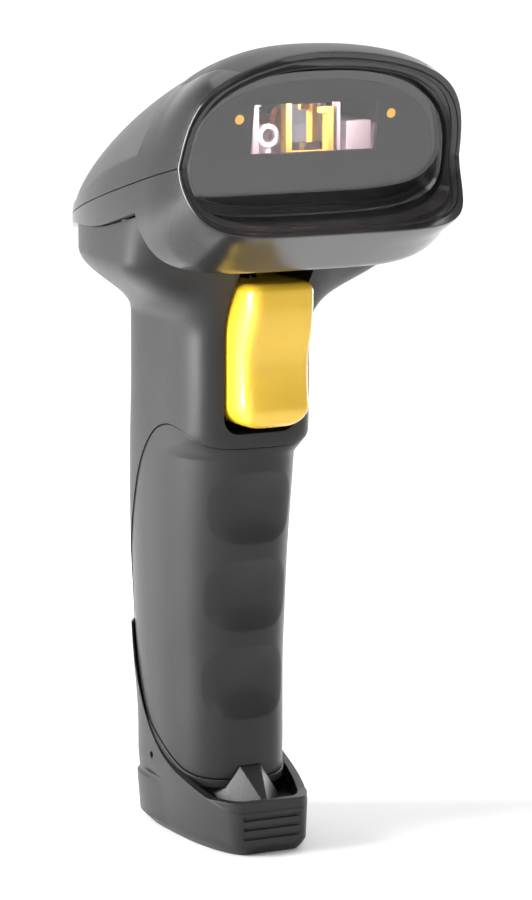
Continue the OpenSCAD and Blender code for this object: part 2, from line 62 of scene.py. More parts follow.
# ---- driving sizes, from the frame -----------------------------------------------------------
HEAD_HALF_W = high("lower_shell", 0)
REAR_Y = high("upper_shell", 1) + 0.15
ROOF_H = 26                      # roof above the parting line
SEAM_FRONT_Z = 151.8             # parting line at the rim of the window
SEAM_SLOPE = 0.244
FACE_Y = -53.3                   # rim of the window at the parting line
WALL = 2.0
PANEL_T = 1.0
GRIP_T = 2.3                     # depth of the grip's moulding in the housing
GAP = 0.15                       # shadow gap between neighbouring mouldings
WINDOW_TILT = math.radians(10)
WINDOW_Y = -51.2
WINDOW_Z = 157
WINDOW_HALF_W = high("window", 0)
PANE_T = 1.5
CORNER_Y = -34.8                 # where the rear panel and the lower arm step
CHIN_Y = -47
GRIP_HALF_W = 15.1
GRIP_HALF_D = 23.3
TRIGGER_HALF_W = high("trigger", 0)
TRIGGER_TOE = low("trigger", 2)
TRIGGER_TOP = high("trigger", 2)
HANDLE_BASE = low("handle_shell", 2)
FOOT_HALF_W = 12.5
NOSE_HALF_W = 6.8
NOSE_H = 9.3
FOOT_MID_Y = -8
FOOT_FRONT_D = 23
FOOT_REAR_D = 24.2
RIM_STRIP = 0.45                 # depth of the bezel that shows on the outside of the head
SHELL_SETBACK = RIM_STRIP + 0.22
PIN_Y = -20.5                    # trigger pin
PIN_Z = 121
SWITCH_Z = 102                   # switch behind the trigger
POCKET_Z = 91.2                  # floor of the trigger pocket
NECK_TOP = 140                   # the neck ends inside the head
GRIP_N = 2.5                     # exponent of the handle's section: 2 is an ellipse, more is squarer
HOUSING_SQUARING = 2.3           # what its front adds to that round the trigger
FOOT_REAR_N = 3.6                # exponent of the back of the foot
WINDOW_N = (2.5, 3.6)            # exponents of the window's outline above and below the parting line
LIGHT_Y = -22                    # status light in the roof
RELEASE_Z = 16.6                 # pinhole in the side of the foot
FOOT_SCREW_Y = -14.5
LAMP_X = 17.6                    # aiming lamps, in the plane of the window
LAMP_UP = 3.7
SCALLOP_Z = (74.5, 55, 35.5)     # centres of the finger hollows
RING = 256                       # points round a fine skin
COARSE = 96                      # points round a skin that stays out of sight


def smooth(t):
    c = np.clip(t, 0, 1)
    return c * c * (3 - 2 * c)


def spow(v, n):
    return np.sign(v) * np.abs(v) ** (2 / n)


def angles(count):
    return np.arange(count) * 2 * math.pi / count


def seam_z(y):
    return SEAM_FRONT_Z - SEAM_SLOPE * (y - FACE_Y)


def rim_y(z, x=0.0):
    """Rim of the window: it leans forwards above the parting line, most at its corners, and out to a lip."""
    above = np.clip(z - SEAM_FRONT_Z, 0, None)
    lip = np.clip((SEAM_FRONT_Z - z) / 14, 0, None)
    bow = above / 20 * (2 - 3.8 * smooth(np.abs(x) / 24))
    return FACE_Y - 0.24 * above + bow - 9.8 * lip ** 1.7


# ---- sections of the head and the handle -----------------------------------------------------
def head_half_w(y, t):
    s = np.clip((y + 50) / (REAR_Y - t + 50), 0, 1)
    return (HEAD_HALF_W - t) * (1 - s ** 3) ** 0.4 - 0.0075 * np.maximum(-40 - y, 0) ** 2


def head_roof(y, t):
    s = np.clip((y + 42) / (REAR_Y - t + 42), 0, 1)
    return (ROOF_H - t) * (1 - s * s) - 0.0171 * np.maximum(-41 - y, 0) ** 2


def head_belly(y, t):
    s = np.clip((y - CHIN_Y) / (REAR_Y - t - CHIN_Y), 0, 1)
    return (21.7 - t - 0.331 * np.maximum(CHIN_Y - y, 0)) * (1 - s ** 3) ** 0.5


def head_point(a, y, t):
    """Points of the head's surface at angles a and depths y, moved inwards by t."""
    up = np.sin(a) >= 0
    n = np.where(up, 2.3 + 0.6 * smooth((-42 - y) / 14), 4.2 + 0.8 * smooth((-54 - y) / 8))
    reach = np.where(up, head_roof(y, t), head_belly(y, t))
    x = head_half_w(y, t) * spow(np.cos(a), n)
    return np.stack([x, y + 0 * x, seam_z(y) + reach * spow(np.sin(a), n)], -1)


def handle_w(z):
    return GRIP_HALF_W - 1.8 + 1.8 * min(z / 88, 1)


def handle_d(z):
    return GRIP_HALF_D - 5 + 5 * smooth((z - 5) / 90)


def handle_y(z):
    return -1.8 + 1.6 * smooth((z - 15) / 30) - 2.6 * smooth((z - 58) / 45)


def handle_ring(z, t, count):
    a = angles(count)
    rear = np.sin(a) > 0
    squareness = np.where(rear, GRIP_N, GRIP_N + HOUSING_SQUARING * smooth((z - 85) / 6))
    low_x = (handle_w(z) - t) * spow(np.cos(a), squareness)
    low_y = handle_y(z) + (handle_d(z) - t) * spow(np.sin(a), squareness)
    n = np.where(rear, 2.2, 3)
    reach = np.where(rear, 49.5, 22) - t
    top_x = (31.6 - t) * spow(np.cos(a), n)
    top_y = -20 + reach * spow(np.sin(a), n)
    behind = smooth((np.sin(a) + 0.9) / 0.9)
    f = behind * smooth((z - 114.5) / 14.5) + (1 - behind) * smooth((z - 112) / 31)
    return np.stack([low_x + f * (top_x - low_x), low_y + f * (top_y - low_y), z + 0 * a], -1)


def foot_ring(z, t, count):
    a = angles(count)
    c = np.cos(a)
    s = np.sin(a)
    t = t + 1.2 * max(1 - z / 1.7, 0)
    w = FOOT_HALF_W + 0.1 * min(z, 16) - t
    nose = NOSE_HALF_W - t
    taper = np.sign(np.round(c, 9)) * (nose + (w - nose) * np.abs(c))
    x = np.where(s >= 0, w * spow(c, FOOT_REAR_N), taper)
    y = FOOT_MID_Y + np.where(s >= 0, (FOOT_REAR_D - t) * spow(s, FOOT_REAR_N), (FOOT_FRONT_D - t) * s)
    own = np.stack([x, y, z + 0 * a], -1)
    return own + smooth((z - 13) / 24) * (handle_ring(z, t - 0.6, count) - own)


# ---- mesh helpers ----------------------------------------------------------------------------
def skin(name, rings, closed=False):
    """A closed mesh through rings of equal length, with caps, or with the last ring joined to the first."""
    rings = np.asarray(rings, float)
    m, n, _ = rings.shape
    i, j = np.meshgrid(np.arange(m if closed else m - 1), np.arange(n), indexing="ij")
    k = (j + 1) % n
    nxt = (i + 1) % m
    faces = np.stack([i * n + j, i * n + k, nxt * n + k, nxt * n + j], -1).reshape(-1, 4).tolist()
    if not closed:
        faces.append(list(range(n))[::-1])
        faces.append([(m - 1) * n + q for q in range(n)])
    mesh = bpy.data.meshes.new(name)
    mesh.from_pydata((rings.reshape(-1, 3) * MM).tolist(), [], faces)
    bm = bmesh.new()
    bm.from_mesh(mesh)
    bmesh.ops.remove_doubles(bm, verts=bm.verts, dist=1e-7)
    bmesh.ops.recalc_face_normals(bm, faces=bm.faces)
    bm.to_mesh(mesh)
    bm.free()
    obj = bpy.data.objects.new(name, mesh)
    bpy.context.scene.collection.objects.link(obj)
    return obj


def head(t, count=RING, steps=150):
    back = REAR_Y - t - 0.15
    depth = back - (back + 66) * (1 - np.arange(steps + 1) / steps) ** 2
    return skin("head", [head_point(angles(count), y, t) for y in depth])


def handle(t, z0, z1, count=RING, steps=None):
    steps = steps or int(z1 - z0)
    return skin("handle", [handle_ring(z, t, count) for z in np.linspace(z0, z1, steps + 1)])


def foot_body(t, z0, z1, count=RING, steps=40):
    return skin("foot_body", [foot_ring(z, t, count) for z in np.linspace(z0, z1, steps + 1)])


def prism(outline, start, end, axis):
    """A slab between two places along one axis. Its outline gives the other two axes in order."""
    rings = []
    for place in (start, end):
        rings.append([p[:axis] + (place,) + p[axis:] for p in [tuple(q) for q in outline]])
    return skin("slab", rings)


def side_slab(outline):
    return prism(outline, -46, 46, 0)


def boolean(obj, tool, operation):
    """Cut, join or intersect obj with tool, which is used up."""
    modifier = obj.modifiers.new("boolean", "BOOLEAN")
    modifier.operation = operation
    modifier.solver = "MANIFOLD"
    modifier.object = tool
    graph = bpy.context.evaluated_depsgraph_get()
    mesh = bpy.data.meshes.new_from_object(obj.evaluated_get(graph))
    obj.modifiers.clear()
    obj.data = mesh
    bpy.data.objects.remove(tool)
    return obj


def minus(obj, *tools):
    for tool in tools:
        boolean(obj, tool, "DIFFERENCE")
    return obj


def both(obj, *tools):
    for tool in tools:
        boolean(obj, tool, "INTERSECT")
    return obj


def plus(obj, *tools):
    for tool in tools:
        boolean(obj, tool, "UNION")
    return obj


def curve_through(points, per=8):
    """Smooth line through points, with per steps between each two."""
    p = np.array([points[0]] + list(points) + [points[-1]], float)
    out = []
    for i in range(1, len(p) - 2):
        for u in np.arange(per) / per:
            out.append(0.5 * (2 * p[i] + (p[i + 1] - p[i - 1]) * u
                              + (2 * p[i - 1] - 5 * p[i] + 4 * p[i + 1] - p[i + 2]) * u ** 2
                              + (3 * p[i] - p[i - 1] - 3 * p[i + 1] + p[i + 2]) * u ** 3))
    out.append(p[-2])
    return [tuple(q) for q in out]


def rod(start, end, radius, count=48):
    """A round bar between two points, in millimetres."""
    start = np.array(start, float)
    end = np.array(end, float)
    along = (end - start) / np.linalg.norm(end - start)
    side = np.cross(along, [0, 0, 1] if abs(along[2]) < 0.9 else [1, 0, 0])
    side = side / np.linalg.norm(side)
    other = np.cross(along, side)
    a = angles(count)[:, None]
    circle = radius * (np.cos(a) * side + np.sin(a) * other)
    return skin("rod", [start + circle, end + circle])


def block(centre, size):
    x, y, z = (s / 2 for s in size)
    corners = [(-x, -y), (x, -y), (x, y), (-x, y)]
    rings = [[(centre[0] + p, centre[1] + q, centre[2] + level) for p, q in corners] for level in (-z, z)]
    return skin("block", rings)


# ---- zones that split the skins into mouldings -----------------------------------------------
def behind_rim(t):
    """Everything behind the bowed rim, set back by t."""
    z = np.arange(120, 187.0, 1)
    rings = [[(x, y, h) for y, h in zip(rim_y(z, x) + t, z)] + [(x, 60, 186), (x, 60, 120)]
             for x in np.linspace(-46, 46, 93)]
    return skin("behind", rings)


def above_seam(t):
    """Everything above the parting line, raised by t."""
    return side_slab([(-80, seam_z(-80) + t), (60, seam_z(60) + t), (60, 190), (-80, 190)])


def arm_edge(t):
    """Lower edge of the side arms in side view, raised by t: near the parting line, then down to the chin."""
    rear = [(40, 1.5), (12, 2.2), (4, 3), (-8.5, 5.3), (-18, 6.2), (CORNER_Y, 6.2)]
    rear = curve_through([(y, seam_z(y) - d + t) for y, d in rear])
    front = curve_through([(CORNER_Y, seam_z(CORNER_Y) - 6.2 + t), (-35.8, 138.6 + t), (-37.3, 136.2 + t),
                           (-39.2, 133.2 + t), (-41, 131 + t), (-44, 129.3 + t), (CHIN_Y, 128.6 + t)])
    return rear + front[1:]


def above_arms(t):
    return side_slab(arm_edge(t) + [(CHIN_Y, 110), (-90, 110), (-90, 200), (40, 200)])


def roof_zone(t):
    """Zone of the dark crown panel, seen from above, grown by t."""
    y = np.arange(-70, -39.0, 2)
    y[-1] = -39.6 + t
    x = 25.6 + t - 0.012 * np.maximum(-40 - y, 0) ** 2
    side = list(zip(x, y))
    return prism(side + [(-p, q) for p, q in side[::-1]], 160, 190, 2)


def rear_zone(t):
    """Zone of the grey rear panel, seen from the side, grown by t."""
    c = CORNER_Y - t
    front = curve_through([(-37.9 - t, 190), (-37.9 - t, 165), (-37.3 - t, 160), (-36.2 - t, 156),
                           (c, seam_z(c) + 5.6 - t)])
    lower = curve_through([(c, seam_z(c) + 5.6 - t), (-18, seam_z(-18) + 5.3 - t), (-8, seam_z(-8) + 3.8 - t),
                           (10, seam_z(10) + 2 - t), (REAR_Y, seam_z(REAR_Y) + 0.8 - t)])
    return side_slab(front + lower[1:] + [(60, 150), (60, 190)])


def grip_zone(t):
    """Outline of the grip in side view, grown by t: shoulder, back edge, then the edge over the foot."""
    shoulder = [(-42, 86.6 + t), (-30, 86.9 + t), (-24, 88.2 + t), (-17, 91.4 + t), (-10, 91.9 + t),
                (-3, 89 + t)]
    back = [(4 + t, 81), (10.5 + t, 67), (14 + t, 56), (14.4 + t, 46), (14 + t, 37), (10 + t, 29.6 - t)]
    over_foot = [(0, 23 - t), (-8, 18.2 - t), (-13, 15.6 - t), (-20, 14.4 - t), (-42, 14.2 - t)]
    return side_slab(curve_through(shoulder + back + over_foot, 6))


def light_hole():
    return rod((0, LIGHT_Y, 150), (0, LIGHT_Y, 185), 1.45)


# ---- materials -------------------------------------------------------------------------------
class Nodes:
    """Short hands for a material's node tree."""

    def __init__(self, name):
        self.material = bpy.data.materials.new(name)
        self.material.use_nodes = True
        self.tree = self.material.node_tree
        self.tree.nodes.clear()
        self.output = self.add("ShaderNodeOutputMaterial")
        self.place = self.add("ShaderNodeTexCoord").outputs["Object"]

    def add(self, kind, **values):
        node = self.tree.nodes.new(kind)
        for key, value in values.items():
            if hasattr(node, key):
                setattr(node, key, value)
        return node

    def link(self, source, target):
        self.tree.links.new(source, target)

    def noise(self, scale, detail):
        node = self.add("ShaderNodeTexNoise")
        node.inputs["Scale"].default_value = scale
        node.inputs["Detail"].default_value = detail
        self.link(self.place, node.inputs["Vector"])
        return node.outputs["Fac"]

    def ramp(self, fac, stops):
        node = self.add("ShaderNodeValToRGB")
        while len(node.color_ramp.elements) < len(stops):
            node.color_ramp.elements.new(0.5)
        for element, (place, colour) in zip(node.color_ramp.elements, stops):
            element.position = place
            element.color = (*colour, 1)
        self.link(fac, node.inputs["Fac"])
        return node.outputs["Color"]

    def span(self, fac, lowest, highest):
        node = self.add("ShaderNodeMapRange")
        node.inputs["To Min"].default_value = lowest
        node.inputs["To Max"].default_value = highest
        self.link(fac, node.inputs["Value"])
        return node.outputs["Result"]


def shade(colour, factor):
    return tuple(min(c * factor, 1) for c in colour)


def moulded(name, colour, rough, grain=0.0, grain_size=0.35, edge=0.0, metal=0.0, coat=0.0, specular=0.5,
            vary=0.12):
    """Moulded or metal surface: slight colour and gloss variation, spark-eroded grain, rounded edges."""
    n = Nodes(name)
    shader = n.add("ShaderNodeBsdfPrincipled")
    shader.inputs["Metallic"].default_value = metal
    shader.inputs["Coat Weight"].default_value = coat
    shader.inputs["Coat Roughness"].default_value = 0.08
    shader.inputs["Specular IOR Level"].default_value = specular
    broad = n.noise(60, 4)
    n.link(n.ramp(broad, [(0.3, shade(colour, 1 - vary)), (0.7, shade(colour, 1 + vary))]),
           shader.inputs["Base Color"])
    n.link(n.span(n.noise(900, 2), rough - 0.05, rough + 0.05), shader.inputs["Roughness"])
    normal = None
    if edge:
        bevel = n.add("ShaderNodeBevel", samples=4)
        bevel.inputs["Radius"].default_value = edge * MM
        normal = bevel.outputs["Normal"]
    if grain:
        bump = n.add("ShaderNodeBump")
        bump.inputs["Strength"].default_value = grain
        bump.inputs["Distance"].default_value = 0.00006
        n.link(n.noise(1 / (grain_size * MM), 2), bump.inputs["Height"])
        if normal:
            n.link(normal, bump.inputs["Normal"])
        normal = bump.outputs["Normal"]
    if normal:
        n.link(normal, shader.inputs["Normal"])
    n.link(shader.outputs["BSDF"], n.output.inputs["Surface"])
    return n.material


def clear(name, tint, rough=0.03, ior=1.52):
    """Clear pane: glass that lets lamps through to what is behind it."""
    n = Nodes(name)
    glass = n.add("ShaderNodeBsdfPrincipled")
    glass.inputs["Transmission Weight"].default_value = 1
    glass.inputs["IOR"].default_value = ior
    glass.inputs["Coat Weight"].default_value = 0.5
    glass.inputs["Coat Roughness"].default_value = 0.02
    glass.inputs["Coat IOR"].default_value = 1.6
    n.link(n.ramp(n.noise(45, 2), [(0.3, tint), (0.7, shade(tint, 0.94))]), glass.inputs["Base Color"])
    n.link(n.span(n.noise(500, 2), rough * 0.5, rough), glass.inputs["Roughness"])
    through = n.add("ShaderNodeBsdfTransparent")
    through.inputs["Color"].default_value = (*tint, 1)
    path = n.add("ShaderNodeLightPath")
    mix = n.add("ShaderNodeMixShader")
    n.link(path.outputs["Is Shadow Ray"], mix.inputs["Fac"])
    n.link(glass.outputs["BSDF"], mix.inputs[1])
    n.link(through.outputs["BSDF"], mix.inputs[2])
    n.link(mix.outputs["Shader"], n.output.inputs["Surface"])
    return n.material


def lamp(name, colour, strength):
    """Small lit part, brighter in patches."""
    n = Nodes(name)
    shader = n.add("ShaderNodeBsdfPrincipled")
    n.link(n.ramp(n.noise(700, 2), [(0.3, shade(colour, 0.9)), (0.7, shade(colour, 1.1))]),
           shader.inputs["Base Color"])
    shader.inputs["Emission Color"].default_value = (*colour, 1)
    shader.inputs["Emission Strength"].default_value = strength
    shader.inputs["Roughness"].default_value = 0.4
    n.link(shader.outputs["BSDF"], n.output.inputs["Surface"])
    return n.material


MATERIALS = {
    "shell_grey": moulded("shell_grey", (0.020, 0.020, 0.021), 0.2, 0.04, 0.6, edge=0.25, specular=0.4),
    "panel_grey": moulded("panel_grey", (0.036, 0.036, 0.038), 0.38, 0.10, 0.3, edge=0.2),
    "panel_black": moulded("panel_black", (0.009, 0.009, 0.010), 0.42, 0.15, 0.3, edge=0.2),
    "housing_dark": moulded("housing_dark", (0.015, 0.015, 0.016),
                            0.42, 0.45, 0.55, edge=0.35, specular=0.35),
    "bezel_black": moulded("bezel_black", (0.022, 0.022, 0.023), 0.16, 0, edge=0.2, coat=0.3),
    "gasket_rubber": moulded("gasket_rubber", (0.012, 0.012, 0.012), 0.7, 0.3),
    "window_smoke": clear("window_smoke", (0.80, 0.78, 0.80)),
    "mask_black": moulded("mask_black", (0.005, 0.005, 0.005), 0.5, 0.1, specular=0.2),
    "lamp_amber": lamp("lamp_amber", (0.95, 0.5, 0.04), 0.9),
    "trigger_yellow": moulded("trigger_yellow", (0.80, 0.50, 0.03),
                              0.2, 0.05, 0.5, edge=0.2, coat=0.35, vary=0.05),
    "pin_steel": moulded("pin_steel", (0.55, 0.55, 0.55), 0.25, 0.1, 0.2, metal=1),
    "spring_steel": moulded("spring_steel", (0.45, 0.45, 0.46), 0.3, 0.1, 0.2, metal=1),
    "switch_black": moulded("switch_black", (0.02, 0.02, 0.02), 0.45, 0.2),
    "plunger_white": moulded("plunger_white", (0.7, 0.7, 0.68), 0.4, 0.1),
    "grip_smooth": moulded("grip_smooth", (0.013, 0.013, 0.014), 0.34, 0.06, 0.3, edge=0.4, specular=0.35),
    "contact_gold": moulded("contact_gold", (0.8, 0.58, 0.24), 0.25, 0.1, metal=1),
    "contact_nickel": moulded("contact_nickel", (0.6, 0.57, 0.5), 0.3, 0.1, metal=1),
    "battery_wrap": moulded("battery_wrap", (0.05, 0.17, 0.42), 0.3, 0.1),
    "board_green": moulded("board_green", (0.015, 0.13, 0.05), 0.35, 0.3, vary=0.2),
    "chip_black": moulded("chip_black", (0.015, 0.015, 0.015), 0.5, 0.3),
    "shield_tin": moulded("shield_tin", (0.6, 0.6, 0.6), 0.35, 0.15, metal=1),
    "connector_cream": moulded("connector_cream", (0.7, 0.64, 0.5), 0.4, 0.1),
    "ribbon_amber": moulded("ribbon_amber", (0.55, 0.3, 0.06), 0.3, 0.1),
    "lamp_white": lamp("lamp_white", (0.8, 0.85, 0.8), 0.2),
    "pipe_clear": clear("pipe_clear", (0.92, 0.95, 0.96), 0.05, 1.49),
    "engine_grey": moulded("engine_grey", (0.78, 0.76, 0.80), 0.4, 0.2),
    "bracket_yellow": moulded("bracket_yellow", (0.7, 0.5, 0.08), 0.35, 0.15),
    "laser_brass": moulded("laser_brass", (0.7, 0.5, 0.2), 0.25, 0.1, metal=1),
    "mirror_silver": moulded("mirror_silver", (0.9, 0.9, 0.92), 0.05, 0, metal=1, vary=0.02),
    "magnet_grey": moulded("magnet_grey", (0.4, 0.4, 0.42), 0.3, 0.1, metal=1),
    "coil_copper": moulded("coil_copper", (0.6, 0.25, 0.08), 0.35, 0.4, 0.15, metal=1),
    "filter_red": clear("filter_red", (0.5, 0.03, 0.04), 0.05, 1.5),
    "screw_steel": moulded("screw_steel", (0.4, 0.4, 0.41), 0.35, 0.15, metal=1),
}


def finish_piece(obj, name, slot, *nodes, body="root", sharp=34):
    """Name, paint and shade a piece, and let it stand for its CAD nodes."""
    obj.name = name
    obj.data.name = name
    obj.data.materials.clear()
    obj.data.materials.append(MATERIALS[slot])
    obj.data.shade_smooth()
    obj.data.set_sharp_from_angle(angle=math.radians(sharp))
    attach(obj, body)
    if nodes:
        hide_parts(*nodes)
    return obj


# ---- head ------------------------------------------------------------------------------------
def upper_shell():
    shell = both(head(0), above_seam(0.13), behind_rim(SHELL_SETBACK))
    recess = plus(roof_zone(GAP), rear_zone(GAP))
    minus(recess, head(PANEL_T + GAP))
    minus(shell, head(WALL, COARSE, 60), recess, light_hole())
    return finish_piece(shell, "upper_shell_moulding", "shell_grey", "upper_shell")


def roof_panel():
    panel = both(head(0), roof_zone(0), behind_rim(SHELL_SETBACK), above_seam(6))
    minus(panel, head(PANEL_T, COARSE, 60))
    return finish_piece(panel, "roof_panel_moulding", "panel_black", "roof_panel")


def rear_panel():
    panel = both(head(0.35), rear_zone(0))
    minus(panel, head(PANEL_T, COARSE, 60), light_hole())
    return finish_piece(panel, "rear_panel_moulding", "panel_grey", "rear_panel")


def lower_shell():
    shell = minus(both(head(0), above_arms(0), behind_rim(SHELL_SETBACK)), above_seam(-0.13))
    hollow = side_slab([(60, 190), (-80, 190), (-80, 143), (-45.4, 131), (-45.4, 127), (60, 127)])
    minus(shell, both(head(WALL, COARSE, 60), hollow))
    return finish_piece(shell, "lower_shell_moulding", "shell_grey", "lower_shell")


def rim_point(a, back, t=0.0):
    """Points of the head's skin where it meets the rim, set back by a distance."""
    y = np.full(a.shape, FACE_Y)
    for _ in range(30):
        p = head_point(a, y, t)
        y = 0.5 * y + 0.5 * (rim_y(p[:, 2], p[:, 0]) + back)
    return head_point(a, y, t)


def opening(a, grow):
    """Outline of the window opening: x and height above the parting line."""
    up = np.sin(a) >= 0
    n = np.where(up, *WINDOW_N)
    reach = np.where(up, 19.2, 12.3) + grow
    return (WINDOW_HALF_W + 0.4 + grow) * spow(np.cos(a), n), reach * spow(np.sin(a), n)


def pane_y(z, behind):
    return WINDOW_Y - (z - WINDOW_Z) * math.tan(WINDOW_TILT) + behind


def front_bezel():
    """One ring swept round the window: skin, rolled rim, chamfer, inner wall, and a seat for the pane."""
    a = angles(480)
    outer = rim_point(a, 0)
    x, h = opening(a, 0)
    z = SEAM_FRONT_Z + h
    inner = np.stack([x, rim_y(z, x) + 1.4, z], -1)

    def between(u, forward):
        """A point on the chamfer, from the outer edge to the inner one."""
        p = outer + u * (inner - outer)
        p[:, 1] = outer[:, 1] + u * (inner[:, 1] - outer[:, 1]) - forward
        return p

    def wall(behind, grow=0.0):
        gx, gh = opening(a, grow)
        gz = SEAM_FRONT_Z + gh
        return np.stack([gx, pane_y(gz, behind), gz], -1)

    profile = [rim_point(a, RIM_STRIP), rim_point(a, 0.3, 0.01), rim_point(a, 0.17, 0.06),
               rim_point(a, 0.07, 0.15), between(0.12, -0.01), between(0.3, 0.0), between(0.5, 0.0),
               between(0.7, 0.0), between(0.85, -0.04), between(0.95, -0.14), inner]
    for share in (0.08, 0.3, 0.6):
        profile.append(inner + share * (wall(-0.05) - inner))
    profile += [wall(-0.05), wall(PANE_T + 0.05), wall(PANE_T + 0.1, -2.3), wall(PANE_T + 1.4, -2.3),
                wall(PANE_T + 1.5, 0.2), rim_point(a, 3.2, 2.6), rim_point(a, 0.6, 2.2)]
    ring = skin("bezel", profile, closed=True)
    return finish_piece(ring, "front_bezel_ring", "bezel_black", "front_bezel")


def pane(name, slot, node, w, up, down, d0, d1, holes=()):
    """A plate of the window's outline in its leaning plane, from depth d0 to d1."""
    a = angles(256)
    n = np.where(np.sin(a) >= 0, *WINDOW_N)
    reach = np.where(np.sin(a) >= 0, up, down)
    height = SEAM_FRONT_Z - WINDOW_Z + reach * spow(np.sin(a), n)
    outline = np.stack([w * spow(np.cos(a), n), 0 * a, height], -1)
    turn = np.array(Euler((WINDOW_TILT, 0, 0)).to_matrix())
    rings = [(outline * (1 - inset / w) + [0, d, 0]) @ turn.T + [0, WINDOW_Y, WINDOW_Z]
             for d, inset in ((d0, 0.12), (d0 + 0.12, 0), (d1 - 0.05, 0), (d1, 0.05))]
    plate = skin(name, rings)
    minus(plate, *holes)
    return finish_piece(plate, name, slot, node, sharp=20)


def on_pane(x, behind, up):
    """A place given in the leaning frame of the window."""
    p = Euler((WINDOW_TILT, 0, 0)).to_matrix() @ Vector((x, behind, up))
    return (p.x, p.y + WINDOW_Y, p.z + WINDOW_Z)


def lamp_hole(side):
    """Hole in front of an aiming lamp; side is -1 or 1."""
    a = angles(32)
    circle = list(zip(side * LAMP_X + 1.1 * np.cos(a), LAMP_UP + 1.1 * np.sin(a)))
    return skin("hole", [[on_pane(x, d, z) for x, z in circle] for d in (0.5, 5)])


def scan_hole():
    corners = [(-14.5, -3.9), (14.5, -3.9), (14.5, 6.7), (-14.5, 6.7)]
    return skin("hole", [[on_pane(x, d, z) for x, z in corners] for d in (0.5, 5)])


# ---- trigger ---------------------------------------------------------------------------------
def trigger_front(z):
    return (-33.8 - 3.4 * smooth((z - 106) / 14) - 0.9 * smooth((103 - z) / 8)
            + 0.26 * max(97 - z, 0) ** 2)


def trigger_back(z):
    if z < 113:
        return -22.6
    return -22.6 + 5 * min((z - 113) / 5, 1)


def trigger():
    """Full at the top and toe and hollow for the finger between, with soft corners all round."""
    rings = []
    a = angles(160)
    ends = 5
    levels = np.concatenate([TRIGGER_TOE + 0.02 + ends * (1 - np.cos(np.linspace(0, math.pi / 2, 12)[:-1])),
                             np.linspace(TRIGGER_TOE + ends, TRIGGER_TOP - 2, 50),
                             TRIGGER_TOP - 2 + 1.98 * np.sin(np.linspace(0, math.pi / 2, 10)[1:])])
    for z in levels:
        toe = max(ends - (z - TRIGGER_TOE), 0) / ends
        top = max(2 - (TRIGGER_TOP - z), 0) / 2
        inset = ends * (1 - math.sqrt(1 - toe * toe)) * 0.95 + 2 * (1 - math.sqrt(1 - top * top)) * 0.9
        front = trigger_front(max(z, 96)) + inset
        back = trigger_back(z)
        w = TRIGGER_HALF_W - 0.05 - inset
        s = np.sin(a)
        y = np.where(s < 0, back - (back - front) * np.abs(s) ** (2 / 7), back)
        x = w * spow(np.cos(a), np.where(s < 0, 7, 40))
        crown = 0.35 * (1 - (x / w) ** 2) * (s < 0)
        rings.append(np.stack([x, np.where(s < 0, y - crown, back + 0 * y), z + 0 * a], -1))
    body = skin("trigger", rings)
    minus(body, rod((-14, PIN_Y, PIN_Z), (14, PIN_Y, PIN_Z), 1.26), block((0, PIN_Y + 1, PIN_Z), (6, 9, 8)))
    return finish_piece(body, "trigger_moulding", "trigger_yellow", "trigger", body="trigger", sharp=50)


# ---- handle and grip -------------------------------------------------------------------------
def pocket(t, z0, z1):
    """Trigger pocket: round at the toe, open at the front."""
    w = TRIGGER_HALF_W + 0.4 + t
    r = 3.6
    turn = np.linspace(0, math.pi / 2, 9)
    left = [(-w + r - r * math.cos(q), z0 - t + r - r * math.sin(q)) for q in turn]
    outline = left + [(-x, z) for x, z in left[::-1]] + [(w, z1 + t), (-w, z1 + t)]
    return prism(outline, -50, -9 + t, 1)


def grip_recess(t):
    return minus(grip_zone(t), handle(GRIP_T + 0.1, 5, NECK_TOP, COARSE, 60))


def release_hole():
    return rod((-8, 0, RELEASE_Z), (-24, 0, RELEASE_Z), 0.8)


def handle_shell():
    """Hollow neck and grip with a walled pocket for the trigger and a recess for the grip's moulding."""
    shell = minus(handle(0, HANDLE_BASE, NECK_TOP, steps=170), handle(GRIP_T + 0.8, 5, 150, COARSE, 60))
    box = both(handle(0, HANDLE_BASE, NECK_TOP, steps=170), pocket(WALL, POCKET_Z, 127.5))
    plus(shell, box)
    pin_hole = rod((-10.3, PIN_Y, PIN_Z), (10.3, PIN_Y, PIN_Z), 1.2)
    plunger_hole = rod((0, -16, SWITCH_Z), (0, -4, SWITCH_Z), 2.2)
    minus(shell, above_arms(-GAP), pocket(0, POCKET_Z, 150), grip_recess(0.22), release_hole(),
          pin_hole, plunger_hole)
    return finish_piece(shell, "handle_housing", "housing_dark", "handle_shell")


def scallop(x, z):
    """Depth of the three finger hollows at a place on the front of the grip."""
    depth = 0
    for middle in SCALLOP_Z:
        r = (np.abs(x / 9.8) ** 3 + np.abs((z - middle) / 8) ** 3) ** (1 / 3)
        depth = depth + 1.7 * np.maximum(1 - r * r, 0)
    return depth


def grip_insert():
    """The grip's skin with its finger hollows, trimmed to its outline."""
    rings = []
    for z in np.linspace(13, 95, 250):
        ring = handle_ring(z, 0.22, 320)
        front = ring[:, 1] < handle_y(z) - 4
        ring[:, 1] += np.where(front, scallop(ring[:, 0], z), 0)
        rings.append(ring)
    grip = both(skin("grip", rings), grip_zone(0))
    minus(grip, handle(GRIP_T, 10, 99, COARSE, 60))
    return finish_piece(grip, "grip_insert_moulding", "grip_smooth", "grip_insert")


# ---- foot ------------------------------------------------------------------------------------
def foot_rim(y):
    return NOSE_H + 0.31 * (y + 31) + 12.5 * np.maximum((y + 14) / 23, 0) ** 3


def under_rim(t):
    y = np.arange(-36, 15.0, 1)
    return side_slab(list(zip(y, foot_rim(y) - t)) + [(30, 60), (30, -1), (-36, -1)])


